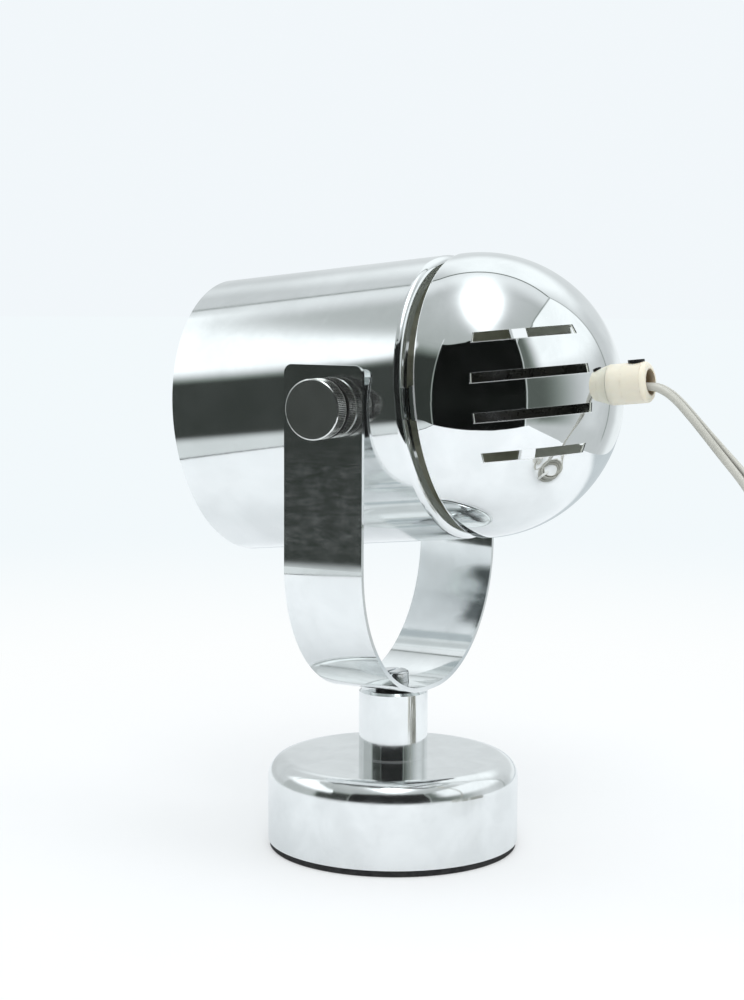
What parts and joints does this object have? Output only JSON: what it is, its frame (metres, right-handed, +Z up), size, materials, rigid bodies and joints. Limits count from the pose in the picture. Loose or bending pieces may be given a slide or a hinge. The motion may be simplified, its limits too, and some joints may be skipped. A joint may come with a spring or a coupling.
{
  "type": "tabletop searchlight lamp",
  "caption": "Chrome table spotlight: round weighted base, short stem, strip yoke and a tilting tube shade with a slotted domed rear cap.",
  "frame": {"origin": "middle of the underside of the base pad, on the surface the lamp stands on", "axes": "+Z up along the stem, -Y towards the shade's mouth, +X along the tilt axis"},
  "size_m": [0.1306, 0.3752, 0.2151],
  "materials": {
    "chrome_base": "polished chrome plate",
    "iron": "black painted casting",
    "pad": "black felt",
    "zinc": "zinc plate",
    "chrome_stem": "polished chrome plate",
    "chrome_yoke": "polished chrome plate, lightly pitted",
    "chrome_shade": "chrome plate with a faint satin",
    "chrome_cap": "mirror chrome plate",
    "chrome_knob": "chrome plate, knurled rim",
    "screw_steel": "plated steel",
    "black_screw": "blackened steel",
    "fibre": "black fibre",
    "grip_plastic": "ivory moulding",
    "phenolic": "black phenolic",
    "porcelain": "glazed",
    "brass": "plain",
    "cord_pvc": "white flexible PVC",
    "tie": "white coated tie",
    "switch_plastic": "white moulding",
    "rocker_plastic": "white moulding",
    "plug_plastic": "white moulding",
    "bulb_cap": "screw cap",
    "solder": "solder",
    "bulb_glass": "frosted"
  },
  "bodies": {
    "base": {"base_shell": "chrome_base", "base_weight": "iron", "base_pad": "pad", "base_washer": "zinc", "base_nut": "zinc", "stem_tube": "chrome_stem", "centre_bolt": "screw_steel", "swivel_washer": "fibre"},
    "yoke": {"yoke": "chrome_yoke", "bolt_washer": "screw_steel", "cord_lead": "cord_pvc", "cord_link": "cord_pvc", "cord_tail": "cord_pvc", "cord_coil": "cord_pvc", "cord_tie": "tie", "plug_body": "plug_plastic", "plug_pins": "brass", "switch_case_bottom": "switch_plastic", "switch_case_top": "switch_plastic", "rocker_pin": "brass", "switch_screws": "black_screw"},
    "head": {"shade_tube": "chrome_shade", "rear_cap": "chrome_cap", "pivot_studs": "zinc", "stud_nuts": "zinc", "tilt_washers": "fibre", "nipple": "zinc", "nipple_nut": "zinc", "cord_grip": "grip_plastic", "grip_screw": "black_screw", "lampholder_cap": "phenolic", "lampholder_skirt": "phenolic", "lampholder_insert": "porcelain", "screw_shell": "brass", "centre_contact": "brass", "terminal_screws": "brass", "inner_wires": "cord_pvc", "bulb_cap": "bulb_cap", "bulb_tip": "solder", "bulb_glass": "bulb_glass", "cord_stub": "cord_pvc"},
    "knob_near": {"knob_near": "chrome_knob"},
    "knob_far": {"knob_far": "chrome_knob"},
    "rocker": {"switch_rocker": "rocker_plastic"}
  },
  "joints": [
    {"name": "yoke_swivel", "type": "hinge", "parent": "base", "child": "yoke", "pos_m": [0, 0, 0.0575], "axis": [0, 0, 1], "range_deg": [-175, 175]},
    {"name": "head_tilt", "type": "hinge", "parent": "yoke", "child": "head", "pos_m": [0, 0.0031, 0.1625], "axis": [1, 0, 0], "range_deg": [-80, 65]},
    {"name": "knob_near_turn", "type": "hinge", "parent": "head", "child": "knob_near", "pos_m": [0.059, 0.0031, 0.1625], "axis": [1, 0, 0], "range_deg": [0, 360]},
    {"name": "knob_far_turn", "type": "hinge", "parent": "head", "child": "knob_far", "pos_m": [-0.059, 0.0031, 0.1625], "axis": [-1, 0, 0], "range_deg": [0, 360]},
    {"name": "rocker_press", "type": "hinge", "parent": "yoke", "child": "rocker", "pos_m": [0.038, 0.236, 0.0136], "axis": [1, 0, 0], "range_deg": [0, 24]}
  ]
}
